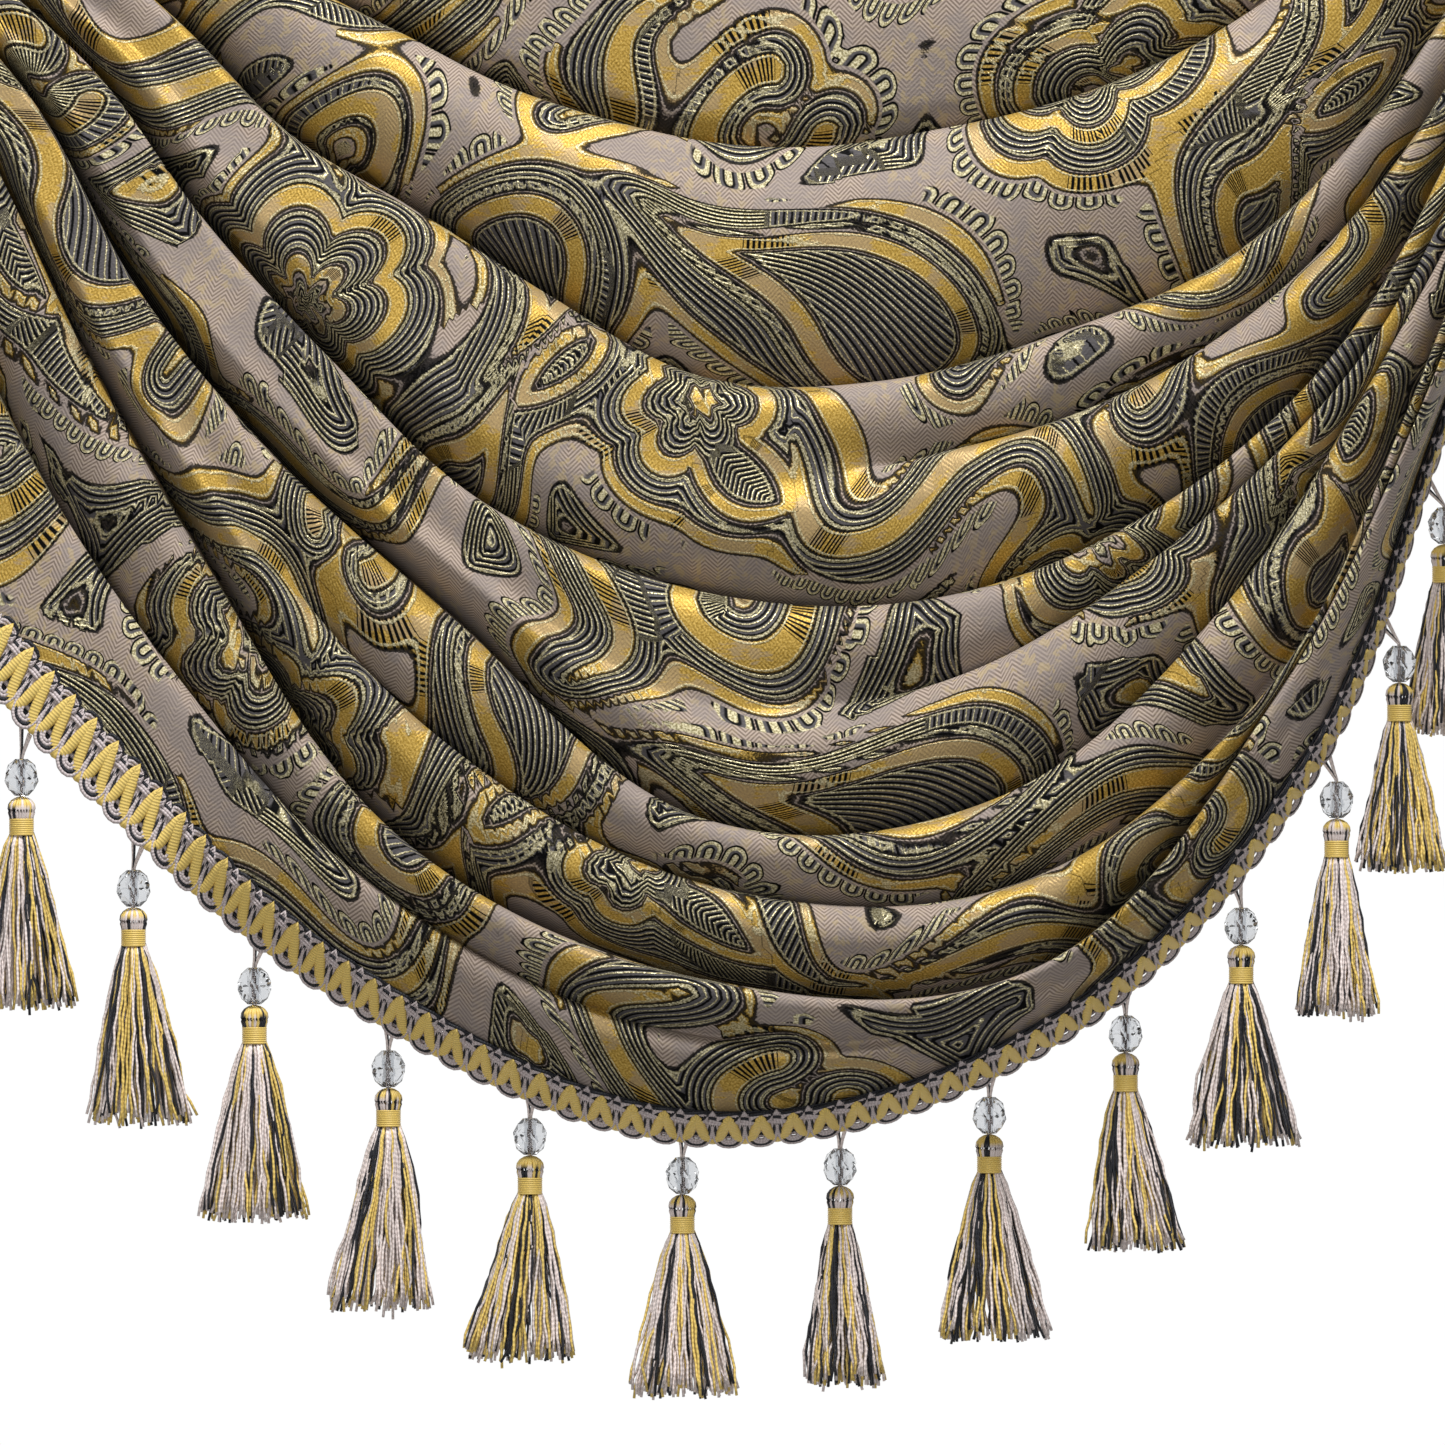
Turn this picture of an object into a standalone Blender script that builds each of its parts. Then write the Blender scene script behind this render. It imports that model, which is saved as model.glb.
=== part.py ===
"""Swag drape: one draped sheet, a gimp braid sewn along its hem, and beaded tassels.

Sizes are in millimetres until a point is made, +Z is up and -Y faces the room.
The folds run from shoulder to shoulder, so every fold is given as its distance
from the middle of the top edge, on rays that turn from the left shoulder (-90
degrees) past straight down (0) to the right shoulder (90).
"""
import math

import bmesh
import bpy

MM = 0.001
GAP = 0.3

# Sheet
CLOTH_THICKNESS = 1.8
BELLY = 46.0
SHOULDER_STACK = 12.0
WIDEST_ROLL = 40.0
NARROW_ROLL = 14.0
RAY_STEP = 5

# Each row is one crease: its distance from the middle of the top edge on every
# ray, and how deep it is at the left shoulder, left, middle, right and right shoulder.
FOLD_RAYS = (-90, -75, -60, -45, -30, -15, 0, 15, 30, 45, 60, 75, 90)
DEPTH_RAYS = (-90, -45, 0, 45, 90)
FOLDS = (
    {"reach": (215, 175, 145, 128, 122, 120, 123, 129, 138, 155, 178, 205, 235), "depth": (9, 11, 8, 10, 10)},
    {"reach": (232, 200, 178, 172, 167, 175, 193, 201, 208, 221, 229, 238, 247), "depth": (9, 12, 14, 14, 10)},
    {"reach": (247, 218, 193, 190, 193, 207, 222, 225, 232, 238, 242, 247, 252), "depth": (5, 0, 1, 12, 7)},
    {"reach": (262, 231, 207, 208, 218, 240, 256, 267, 267, 262, 253, 252, 256), "depth": (9, 13, 11, 15, 8)},
    {"reach": (266, 238, 217, 222, 234, 257, 288, 290, 278, 269, 259, 257, 259), "depth": (3, 0, 3, 8, 3)},
    {"reach": (271, 245, 227, 236, 251, 275, 323, 328, 302, 276, 264, 261, 262), "depth": (11, 22, 12, 8, 6)},
    {"reach": (275, 251, 236, 247, 270, 308, 342, 354, 329, 290, 268, 264, 265), "depth": (3, 0, 10, 13, 5)},
    {"reach": (279, 258, 246, 259, 289, 341, 370, 379, 333, 294, 272, 267, 268), "depth": (9, 18, 15, 20, 9)},
    {"reach": (283, 271, 267, 289, 318, 358, 386, 387, 343, 298, 276, 271, 271), "depth": (4, 8, 4, 0, 0)},
)
GIMP_TOP = (287, 290, 306, 325, 346, 380, 408, 393, 351, 302, 281, 275, 274)
HEM = (292, 305, 322, 341, 363, 392, 417, 401, 357, 305, 285, 279, 276)
HEM_TURN_BACK = (36, 32, 22, 6, 4, 10, 16, 16, 14, 36, 58, 66, 68)

# Where the mesh has rows within the top panel and within each roll below it
PANEL_ROWS = (0.3, 0.6, 0.85, 0.96)
ROLL_ROWS = (0.0, 0.12, 0.5, 0.88)

# Gimp braid
GIMP_WIDTH = 16.0
GIMP_THICKNESS = 1.8

# Beaded tassels, with heights below the hem
TASSEL_SPACING = 46.0
TASSEL_MIDDLE = -6.5
TRIM_END_LEFT = -58.0
TRIM_END_RIGHT = 58.0
HANGER_RADIUS = 1.1
HANGER_KNEE = 5.5
BEAD_DROP = 12.6
BEAD_RADIUS = 5.0
BEAD_HEIGHT = 10.8
BEAD_HOLE = HANGER_RADIUS + GAP
BEAD_SIDES = 6
BALL_DROP = 22.0
BALL_RADIUS = 4.0
BALL_HEIGHT = 6.2
BAND_TOP = 25.0
BAND_BOTTOM = 29.3
BAND_RADIUS = 3.7
TASSEL_SIDES = 10
SKIRT_LENGTH = 50.0
SKIRT_RADII = (15.0, 13.5, 16.0, 12.5, 14.5)
SKIRT_GROWTH = (1.0, 1.06, 0.97, 1.03)
LOCK_GAP = 0.3
STEEP_NARROWING = 0.3
LOCK_SPREAD = 0.78
LOCK_FLARE = 2.5


def clear_scene():
    for item in list(bpy.data.objects):
        bpy.data.objects.remove(item, do_unlink=True)


def make_material(name, colour, roughness, transmission=0.0):
    material = bpy.data.materials.new(name)
    material.use_nodes = True
    shader = material.node_tree.nodes["Principled BSDF"]
    shader.inputs["Base Color"].default_value = (*colour, 1.0)
    shader.inputs["Roughness"].default_value = roughness
    shader.inputs["Transmission Weight"].default_value = transmission
    return material


def add_object(name, mesh_data, material):
    mesh = bpy.data.meshes.new(name)
    mesh_data.to_mesh(mesh)
    mesh_data.free()
    mesh.materials.append(material)
    item = bpy.data.objects.new(name, mesh)
    bpy.context.collection.objects.link(item)
    return item


def along(values, rays, angle):
    """Smooth curve through evenly spaced values, read at one ray."""
    step = rays[1] - rays[0]
    place = (angle - rays[0]) / step
    first = min(max(int(math.floor(place)), 0), len(values) - 2)
    t = place - first
    a = values[max(first - 1, 0)]
    b = values[first]
    c = values[first + 1]
    d = values[min(first + 2, len(values) - 1)]
    return b + 0.5 * t * (c - a + t * (2 * a - 5 * b + 4 * c - d + t * (3 * (b - c) + d - a)))


def crease_lines(angle):
    """Distances of the top middle, every crease, the gimp's top and the hem on one ray."""
    lines = [0.0]
    lines += [along(fold["reach"], FOLD_RAYS, angle) for fold in FOLDS]
    lines.append(along(GIMP_TOP, FOLD_RAYS, angle))
    lines.append(along(HEM, FOLD_RAYS, angle))
    return lines


def crease_depths(angle):
    depths = [0.0]
    depths += [max(0.0, along(fold["depth"], DEPTH_RAYS, angle)) for fold in FOLDS]
    return depths + [0.0, 0.0]


def roll_profile(distance, reach):
    """1 in the crease, 0 at the crest, with the round side of a roll between them."""
    u = min(1.0, max(0.0, distance / reach))
    return 1.0 - math.sqrt(1.0 - (1.0 - u) ** 2)


def smooth_forward(angle, radius, lines):
    """How far the cloth stands forward before its creases are pressed in."""
    down = max(0.0, math.cos(math.radians(angle)))
    share = radius / lines[-1]
    belly = BELLY * down ** 1.2 * math.sin(0.6 * math.pi * share ** 1.2)
    stack = SHOULDER_STACK * (1.0 - down) * share
    turn_start = lines[-4]
    turn = max(0.0, (radius - turn_start) / (lines[-2] - turn_start))
    return CLOTH_THICKNESS + belly + stack - along(HEM_TURN_BACK, FOLD_RAYS, angle) * turn ** 2


def section(angle):
    """Radius and forward distance of every mesh row on one ray, from the middle to the hem."""
    lines = crease_lines(angle)
    depths = crease_depths(angle)
    rows = []
    for band in range(len(lines) - 2):
        width = lines[band + 1] - lines[band]
        reach = 0.5 * min(width, WIDEST_ROLL)
        shallow = min(1.0, width / NARROW_ROLL)
        for share in PANEL_ROWS if band == 0 else ROLL_ROWS:
            radius = lines[band] + share * width
            forward = smooth_forward(angle, radius, lines)
            forward -= shallow * depths[band] * roll_profile(share * width, reach)
            forward -= shallow * depths[band + 1] * roll_profile((1.0 - share) * width, reach)
            rows.append((radius, forward))
    gimp_top = (lines[-2], smooth_forward(angle, lines[-2], lines))
    rows.append(gimp_top)
    across = lines[-1] - lines[-2]
    rows.append((lines[-1], gimp_top[1] - math.sqrt(max(0.0, GIMP_WIDTH ** 2 - across ** 2))))
    return rows


def section_normal(before, after):
    """Unit vector, outward and forward, that stands on the cloth between two rows."""
    across = after[0] - before[0]
    back = before[1] - after[1]
    length = math.hypot(across, back)
    return back / length, across / length


def place(angle, radius, forward):
    turn = math.radians(angle)
    return (radius * math.sin(turn) * MM, -forward * MM, -radius * math.cos(turn) * MM)


def back_section(rows):
    """The sheet's back, one thickness behind its front and square to it."""
    backs = []
    for index, (radius, forward) in enumerate(rows):
        before = rows[index - 1] if index else (0.0, CLOTH_THICKNESS)
        after = rows[min(index + 1, len(rows) - 1)]
        out, ahead = section_normal(before, after)
        backs.append((radius - CLOTH_THICKNESS * out, forward - CLOTH_THICKNESS * ahead))
    return backs


def draped_sheet(material):
    angles = range(-90, 91, RAY_STEP)
    mesh = bmesh.new()
    middle = [mesh.verts.new(place(0, 0.0, forward)) for forward in (CLOTH_THICKNESS, 0.0)]
    fronts = []
    backs = []
    for angle in angles:
        rows = section(angle)
        fronts.append([mesh.verts.new(place(angle, *row)) for row in rows])
        backs.append([mesh.verts.new(place(angle, *row)) for row in back_section(rows)])
    for side, flip in ((fronts, False), (backs, True)):
        centre = middle[1] if flip else middle[0]
        for left, right in zip(side, side[1:]):
            add_face(mesh, (centre, left[0], right[0]), flip)
            for row in range(len(left) - 1):
                add_face(mesh, (left[row], left[row + 1], right[row + 1]), flip)
                add_face(mesh, (left[row], right[row + 1], right[row]), flip)
    for (front, back), flip in (((fronts[0], backs[0]), True), ((fronts[-1], backs[-1]), False)):
        add_face(mesh, (middle[0], front[0], back[0], middle[1]), flip)
        for row in range(len(front) - 1):
            add_face(mesh, (front[row], front[row + 1], back[row + 1], back[row]), flip)
    for column in range(len(fronts) - 1):
        add_face(mesh, (fronts[column][-1], backs[column][-1],
                        backs[column + 1][-1], fronts[column + 1][-1]), False)
    return add_object("drape_cloth", mesh, material)


def add_face(mesh, corners, flip):
    mesh.faces.new(tuple(reversed(corners)) if flip else corners)


def gimp_braid(material):
    """Flat strip that lies on the cloth's front along the whole hem."""
    mesh = bmesh.new()
    rings = []
    for angle in range(-90, 91, RAY_STEP):
        rows = section(angle)
        out, ahead = section_normal(rows[-2], rows[-1])
        ring = []
        for (radius, forward), height in ((rows[-2], GAP), (rows[-1], GAP),
                                          (rows[-1], GAP + GIMP_THICKNESS),
                                          (rows[-2], GAP + GIMP_THICKNESS)):
            ring.append(mesh.verts.new(place(angle, radius + out * height, forward + ahead * height)))
        rings.append(ring)
    for left, right in zip(rings, rings[1:]):
        for corner in range(4):
            after = (corner + 1) % 4
            mesh.faces.new((left[corner], right[corner], right[after], left[after]))
    mesh.faces.new(rings[0])
    mesh.faces.new(tuple(reversed(rings[-1])))
    bmesh.ops.recalc_face_normals(mesh, faces=mesh.faces)
    return add_object("gimp_braid", mesh, material)


def hem_points():
    """Hem points a degree apart, each with its length along the hem from the lowest ray."""
    points = []
    for angle in range(-90, 91):
        radius, forward = section(angle)[-1]
        points.append((angle, [value / MM for value in place(angle, radius, forward)]))
    lengths = [0.0]
    for (_, before), (_, after) in zip(points, points[1:]):
        lengths.append(lengths[-1] + math.dist(before, after))
    zero = lengths[90]
    return [(angle, length - zero) for (angle, _), length in zip(points, lengths)]


def tassel_angles():
    """Rays of the tassels, evenly spaced along the hem."""
    hem = hem_points()
    angles = []
    count = int(hem[-1][1] - hem[0][1]) // int(TASSEL_SPACING)
    for number in range(-count, count + 1):
        wanted = TASSEL_MIDDLE + number * TASSEL_SPACING
        for (angle, length), (_, following) in zip(hem, hem[1:]):
            if length <= wanted < following:
                angles.append(angle + (wanted - length) / (following - length))
    return [angle for angle in angles if TRIM_END_LEFT < angle < TRIM_END_RIGHT]


def hanging_point(angle):
    """Where a tassel's cord leaves the hem, the axis it hangs on, and how steep the hem is."""
    ray = RAY_STEP * math.floor(angle / RAY_STEP)
    share = (angle - ray) / RAY_STEP
    before = place(ray, *section(ray)[-1])
    after = place(ray + RAY_STEP, *section(ray + RAY_STEP)[-1])
    x, y, z = ((a + share * (b - a)) / MM for a, b in zip(before, after))
    run = after[0] - before[0]
    rise = after[2] - before[2]
    length = math.hypot(run, rise)
    out_x = rise / length
    out_z = -run / length
    y += HANGER_RADIUS + GAP
    clear = GAP + HANGER_RADIUS * abs(out_x)
    start = (x + out_x * clear, y, z + out_z * clear)
    aside = out_x * (BEAD_RADIUS + HANGER_RADIUS) * abs(out_x)
    return start, (start[0] + aside, y, z), abs(out_x)


def ring_of(mesh, centre, radius, sides):
    ring = []
    for side in range(sides):
        turn = 2 * math.pi * side / sides
        ring.append(mesh.verts.new(((centre[0] + radius * math.cos(turn)) * MM,
                                    (centre[1] + radius * math.sin(turn)) * MM,
                                    centre[2] * MM)))
    return ring


def bridge(mesh, upper, lower):
    for side in range(len(upper)):
        after = (side + 1) % len(upper)
        mesh.faces.new((upper[side], lower[side], lower[after], upper[after]))


def tassel(name, angle, number, material):
    """Cord, ball head, wrapped band and a skirt of locks that are one piece at the band."""
    start, axis, steep = hanging_point(angle)
    x, y, z = axis
    mesh = bmesh.new()
    profile = (
        (start, HANGER_RADIUS),
        ((x, y, z - HANGER_KNEE), HANGER_RADIUS),
        ((x, y, z - BALL_DROP + 0.5 * BALL_HEIGHT), HANGER_RADIUS),
        ((x, y, z - BALL_DROP + 0.25 * BALL_HEIGHT), 0.85 * BALL_RADIUS),
        ((x, y, z - BALL_DROP - 0.25 * BALL_HEIGHT), BALL_RADIUS),
        ((x, y, z - BAND_TOP), BAND_RADIUS),
        ((x, y, z - BAND_BOTTOM), BAND_RADIUS),
    )
    rings = [ring_of(mesh, centre, radius, TASSEL_SIDES) for centre, radius in profile]
    mesh.faces.new(rings[0])
    for upper, lower in zip(rings, rings[1:]):
        bridge(mesh, upper, lower)
    core = ring_of(mesh, (x, y, z - BAND_BOTTOM), 0.42 * BAND_RADIUS, TASSEL_SIDES)
    roots = []
    for side in range(TASSEL_SIDES):
        after = (side + 1) % TASSEL_SIDES
        roots.append(mesh.faces.new((rings[-1][side], core[side], core[after], rings[-1][after])))
    roots.append(mesh.faces.new(tuple(reversed(core))))
    bmesh.ops.recalc_face_normals(mesh, faces=mesh.faces)
    skirt = SKIRT_RADII[number % len(SKIRT_RADII)] * (1.0 - STEEP_NARROWING * steep)
    grow_locks(mesh, roots, (x, y), number, skirt)
    return add_object(name, mesh, material)


def grow_locks(mesh, roots, axis, number, skirt):
    """Draws each root face down and out into one lock of the skirt."""
    bmesh.ops.inset_individual(mesh, faces=roots, thickness=LOCK_GAP * MM)
    tips = bmesh.ops.extrude_discrete_faces(mesh, faces=roots)["faces"]
    for lock, tip in enumerate(tips):
        centre = tip.calc_center_median()
        aside = (centre.x - axis[0] * MM, centre.y - axis[1] * MM)
        distance = math.hypot(*aside)
        growth = SKIRT_GROWTH[(number + 2 * lock) % len(SKIRT_GROWTH)]
        spread = LOCK_SPREAD * skirt * MM if distance > MM else 0.0
        for vert in tip.verts:
            flat = LOCK_FLARE * (vert.co - centre)
            vert.co.x = centre.x + flat.x + spread * aside[0] / max(distance, MM)
            vert.co.y = centre.y + flat.y + spread * aside[1] / max(distance, MM)
            vert.co.z -= SKIRT_LENGTH * growth * MM


def bead(name, angle, material):
    """Faceted bead threaded on the tassel's cord."""
    x, y, z = hanging_point(angle)[1]
    middle = z - BEAD_DROP
    mesh = bmesh.new()
    outer = []
    for height, radius in ((0.5, 0.45), (0.27, 0.88), (0.0, 1.0), (-0.27, 0.88), (-0.5, 0.45)):
        centre = (x, y, middle + height * BEAD_HEIGHT)
        outer.append(ring_of(mesh, centre, radius * BEAD_RADIUS, BEAD_SIDES))
    inner = [ring_of(mesh, (x, y, middle + height * BEAD_HEIGHT), 1.12 * BEAD_HOLE, BEAD_SIDES)
             for height in (-0.5, 0.5)]
    loop = outer + inner
    for upper, lower in zip(loop, loop[1:] + loop[:1]):
        bridge(mesh, upper, lower)
    bmesh.ops.recalc_face_normals(mesh, faces=mesh.faces)
    return add_object(name, mesh, material)


def main():
    clear_scene()
    cloth = make_material("jacquard_cloth", (0.36, 0.30, 0.26), 0.6)
    gold = make_material("gold_gimp", (0.72, 0.50, 0.12), 0.7)
    yarn = make_material("tassel_yarn", (0.50, 0.45, 0.42), 0.7)
    crystal = make_material("clear_bead", (0.90, 0.93, 0.95), 0.05, transmission=1.0)
    draped_sheet(cloth)
    gimp_braid(gold)
    for number, angle in enumerate(tassel_angles(), start=1):
        tassel(f"tassel_{number:02d}", angle, number, yarn)
        bead(f"bead_{number:02d}", angle, crystal)


main()
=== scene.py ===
"""Looks of the swag drape: figured jacquard cloth, a two-colour gimp and beaded tassels.

Sizes are in millimetres until a mesh is made, +Z is up and -Y faces the room. The cloth
repeats the part's own rule: every fold is a distance from the middle of the top edge, on
rays that turn from the left shoulder (-90 degrees) past straight down (0) to the right (90).
"""

import math

import bpy
import numpy as np
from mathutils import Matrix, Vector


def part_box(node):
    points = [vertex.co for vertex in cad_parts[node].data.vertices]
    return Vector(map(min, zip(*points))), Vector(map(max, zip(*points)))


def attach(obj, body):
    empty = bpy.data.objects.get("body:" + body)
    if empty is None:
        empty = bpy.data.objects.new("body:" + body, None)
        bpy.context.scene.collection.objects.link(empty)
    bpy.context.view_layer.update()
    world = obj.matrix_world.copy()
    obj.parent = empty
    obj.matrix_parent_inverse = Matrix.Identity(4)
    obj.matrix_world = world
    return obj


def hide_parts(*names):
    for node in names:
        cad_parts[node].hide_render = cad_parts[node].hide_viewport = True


MM = 0.001

# The part's folds
CLOTH_THICKNESS = 1.8
BELLY = 46.0
SHOULDER_STACK = 12.0
NARROW_ROLL = 14.0
FOLD_RAYS = (-90, -75, -60, -45, -30, -15, 0, 15, 30, 45, 60, 75, 90)
DEPTH_RAYS = (-90, -45, 0, 45, 90)
FOLDS = (
    {"reach": (215, 175, 145, 128, 122, 120, 123, 129, 138, 155, 178, 205, 235),
     "depth": (9, 11, 8, 10, 10)},
    {"reach": (232, 200, 178, 172, 167, 175, 193, 201, 208, 221, 229, 238, 247),
     "depth": (9, 12, 14, 14, 10)},
    {"reach": (247, 218, 193, 190, 193, 207, 222, 225, 232, 238, 242, 247, 252),
     "depth": (5, 0, 1, 12, 7)},
    {"reach": (262, 231, 207, 208, 218, 240, 256, 267, 267, 262, 253, 252, 256),
     "depth": (9, 13, 11, 15, 8)},
    {"reach": (266, 238, 217, 222, 234, 257, 288, 290, 278, 269, 259, 257, 259),
     "depth": (3, 0, 3, 8, 3)},
    {"reach": (271, 245, 227, 236, 251, 275, 323, 328, 302, 276, 264, 261, 262),
     "depth": (11, 22, 12, 8, 6)},
    {"reach": (275, 251, 236, 247, 270, 308, 342, 354, 329, 290, 268, 264, 265),
     "depth": (3, 0, 10, 13, 5)},
    {"reach": (279, 258, 246, 259, 289, 341, 370, 379, 333, 294, 272, 267, 268),
     "depth": (9, 18, 15, 20, 9)},
    {"reach": (283, 271, 267, 289, 318, 358, 386, 387, 343, 298, 276, 271, 271),
     "depth": (4, 8, 4, 0, 0)},
)
GIMP_TOP = (287, 290, 306, 325, 346, 380, 408, 393, 351, 302, 281, 275, 274)
HEM = (292, 305, 322, 341, 363, 392, 417, 401, 357, 305, 285, 279, 276)
HEM_TURN_BACK = (36, 32, 22, 6, 4, 10, 16, 16, 14, 36, 58, 66, 68)
GIMP_WIDTH = 16.0

# How finely the cloth is drawn, and how each roll leans over the fold above it
RAY_COUNT = 451
BAND_ROWS = (36, 32, 16, 24, 14, 20, 13, 17, 12, 14)
HEM_ROWS = 7
FIRST_ROW = 0.6
LIP_LEAN = 0.3
MOST_LEAN = 3.2
LIP_HEIGHT = 1.7
LIP_REACH = 9.0
POCKET_REACH = 10.0
TOP_SHARE = 0.3
CREASE_DEPTH = 1.7
SOFT_DEPTH = 5.0
GULLY_SHARE = 0.6
MOST_GULLY = (10, 11, 4, 5, 5)
UNDERSIDE_SLANT = 0.35
GULLY_ABOVE = 8.0
GULLY_BELOW = 3.0
ROUNDEST_ROLL = 74.0
DEEP_FOLDS = (0, 1, 3, 5, 7)
LINING_BEHIND = 0.6
LINING_BACK = 1.4

# Figures woven in the cloth, in one repeat that steps half its height to each side
REPEAT_WIDTH = 268.0
REPEAT_HEIGHT = 262.0
CORD_PITCH = 1.95
LOOP_PITCH = 5.6
LOOP_HEIGHT = 5.6
RUNG_PERIOD = 68.0
RUNG_START = 28.0
SLOPE_STEP = 0.2
WEAVE_WIDTH = 4.0
WEAVE_THREAD = 1.45
# Place, width and softness of a cord and of the black painted shadow beside it, once every pitch
CORD_LINE = (0.22, 0.47, 0.13)
SHADOW_LINE = (0.61, 0.74, 0.13)
BLEND = 4.0
BLEND_START = 7.0
FIGURES = (
    {"kind": "drop", "at": (60, 62), "size": 33, "turn": 28, "curl": 0.9},
    {"kind": "drop", "at": (212, 196), "size": 29, "turn": 205, "curl": -1.0},
    {"kind": "drop", "at": (184, 84), "size": 20, "turn": -58, "curl": 1.0},
    {"kind": "flower", "at": (128, 142), "size": 34, "turn": 12, "curl": 0.0},
    {"kind": "flower", "at": (258, 126), "size": 24, "turn": 40, "curl": 0.0},
    {"kind": "ribbon", "at": (78, 214), "size": 66, "turn": -24, "curl": 16.0},
    {"kind": "ribbon", "at": (136, 24), "size": 58, "turn": 14, "curl": -14.0},
    {"kind": "ribbon", "at": (242, 24), "size": 42, "turn": 72, "curl": 11.0},
    {"kind": "hook", "at": (18, 148), "size": 17, "turn": 140, "curl": 0.0},
    {"kind": "hook", "at": (150, 226), "size": 15, "turn": -30, "curl": 0.0},
    {"kind": "leaf", "at": (8, 240), "size": 27, "turn": 60, "curl": 0.0},
    {"kind": "leaf", "at": (214, 134), "size": 22, "turn": -35, "curl": 0.0},
)

# Colours of the cloth, the darker and the paler thread of each weave first
GROUND_TONES = ((0.205, 0.157, 0.126), (0.465, 0.375, 0.315))
GROUND_PATCH = (0.265, 0.228, 0.215)
GROUND_FLECK = (0.46, 0.355, 0.19)
GROUND_FLOAT = (0.46, 0.38, 0.26)
GOLD_TONES = ((0.37, 0.228, 0.040), (0.66, 0.445, 0.115))
GOLD_TWILL = (0.24, 0.135, 0.02)
GOLD_WORN = (0.38, 0.29, 0.19)
SLATE_TONES = ((0.044, 0.040, 0.042), (0.152, 0.142, 0.144))
CORD_TONES = ((0.30, 0.255, 0.125), (0.76, 0.69, 0.45))
BLACK = (0.003, 0.0028, 0.003)
REVERSE_TONES = ((0.20, 0.155, 0.125), (0.33, 0.27, 0.23))
REVERSE_GOLD = (0.46, 0.30, 0.07)
REVERSE_DARK = (0.06, 0.06, 0.068)

# Colours of yarn and glass
LILAC = (0.93, 0.81, 0.77)
GREY_YARN = (0.68, 0.59, 0.585)
GOLD_YARN = (0.95, 0.69, 0.19)
BLACK_YARN = (0.014, 0.015, 0.022)
GLASS_TONES = ((0.60, 0.62, 0.64), (0.78, 0.79, 0.81))

# Braid along the hem, with depths below its top edge and strands beside a zigzag's own line
ZIGZAG_PITCH = 9.45
ZIGZAG_STEPS = 18
GOLD_TOP = 0.9
GOLD_BOTTOM = 15.0
GREY_TOP = 2.2
GREY_BOTTOM = 15.9
GREY_STRANDS = ((-1.35, GREY_YARN), (-0.45, BLACK_YARN), (0.45, GREY_YARN), (1.35, GREY_YARN))
SCROLL_STEPS = 16
SCROLL_STRANDS = ((-0.9, BLACK_YARN), (0.0, GREY_YARN), (0.9, GREY_YARN))
BED_POINTS = 300
BED_DEPTHS = np.arange(1.6, 15.2, 1.5)

# Tassels, with heights below the hem
BEAD_DROP = 12.6
BEAD_RADIUS = 5.0
BEAD_HEIGHT = 10.8
BEAD_HOLE = 1.5
BEAD_SIDES = 8
BALL_TOP = 18.6
BAND_TOP = 25.0
BAND_BOTTOM = 29.3
BAND_RADIUS = 3.7
SKIRT_YARNS = 170
SKIRT_POINTS = 13
SKIRT_CLUMPS = 30
BALL_THREADS = 26
BAND_TURNS = 8
YARN_RADIUS = 0.41
# Left to right: half the width of the skirt's tips, how far they lean aside, and how long the skirt is
SKIRTS = (
    (14.0, 0.0, 50.0), (13.5, 0.5, 49.0), (14.5, 0.0, 50.0), (15.5, 1.0, 52.0), (16.0, 1.5, 53.5),
    (16.3, 0.0, 53.0), (15.6, -2.5, 55.0), (16.6, -3.0, 50.0), (16.4, 0.3, 49.0), (12.2, 1.5, 48.5),
    (16.8, 1.0, 50.5), (15.0, 3.6, 48.0), (17.5, 1.3, 49.0), (12.5, -0.6, 48.0), (13.5, 0.7, 45.5),
    (13.0, 0.5, 46.0), (12.5, 0.0, 47.0),
)

# The photograph's own view
VIEW_CENTRE = (0.00515, -0.03, -0.29474)
VIEW_WIDTH = 0.42483
VIEW_DISTANCE = 4.0
SENSOR = 36.0

# Studio, in metres: far larger than the distance that other views are taken from
ROOM = 15.0
FLOOR = -8.0
# The studio's walls and floor glow by their own emission, painted light: dimmer in front of the drape,
# brighter behind it
GLOW_RANGE = (-4.0, 13.0)
GLOW_FRONT = (0.26, 0.26, 0.26)
GLOW_BACK = (1.01, 1.01, 1.01)
# Each lamp's place, what it points at, its size and its power
LAMPS = {
    "key": ((0.18, -0.85, 1.55), (0.0, 0.0, -0.25), (0.7, 0.45), 54.0),
    "fill": ((-0.3, -2.2, -0.5), (0.0, 0.0, -0.45), (1.0, 1.0), 11.5),
}
WORLD_STRENGTH = 0.02

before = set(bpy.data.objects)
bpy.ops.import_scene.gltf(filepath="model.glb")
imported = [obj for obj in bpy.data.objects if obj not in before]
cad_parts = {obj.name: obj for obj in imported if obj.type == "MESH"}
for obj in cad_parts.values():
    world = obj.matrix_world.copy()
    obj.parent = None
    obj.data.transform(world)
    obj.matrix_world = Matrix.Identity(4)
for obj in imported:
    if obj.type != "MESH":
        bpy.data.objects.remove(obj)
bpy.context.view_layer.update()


def along(values, rays, angle):
    """Smooth curve through evenly spaced values, read at every angle."""
    values = np.asarray(values, float)
    place = (angle - rays[0]) / (rays[1] - rays[0])
    first = np.clip(np.floor(place).astype(int), 0, len(values) - 2)
    t = place - first
    a = values[np.maximum(first - 1, 0)]
    b = values[first]
    c = values[first + 1]
    d = values[np.minimum(first + 2, len(values) - 1)]
    return b + 0.5 * t * (c - a + t * (2 * a - 5 * b + 4 * c - d + t * (3 * (b - c) + d - a)))


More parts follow.
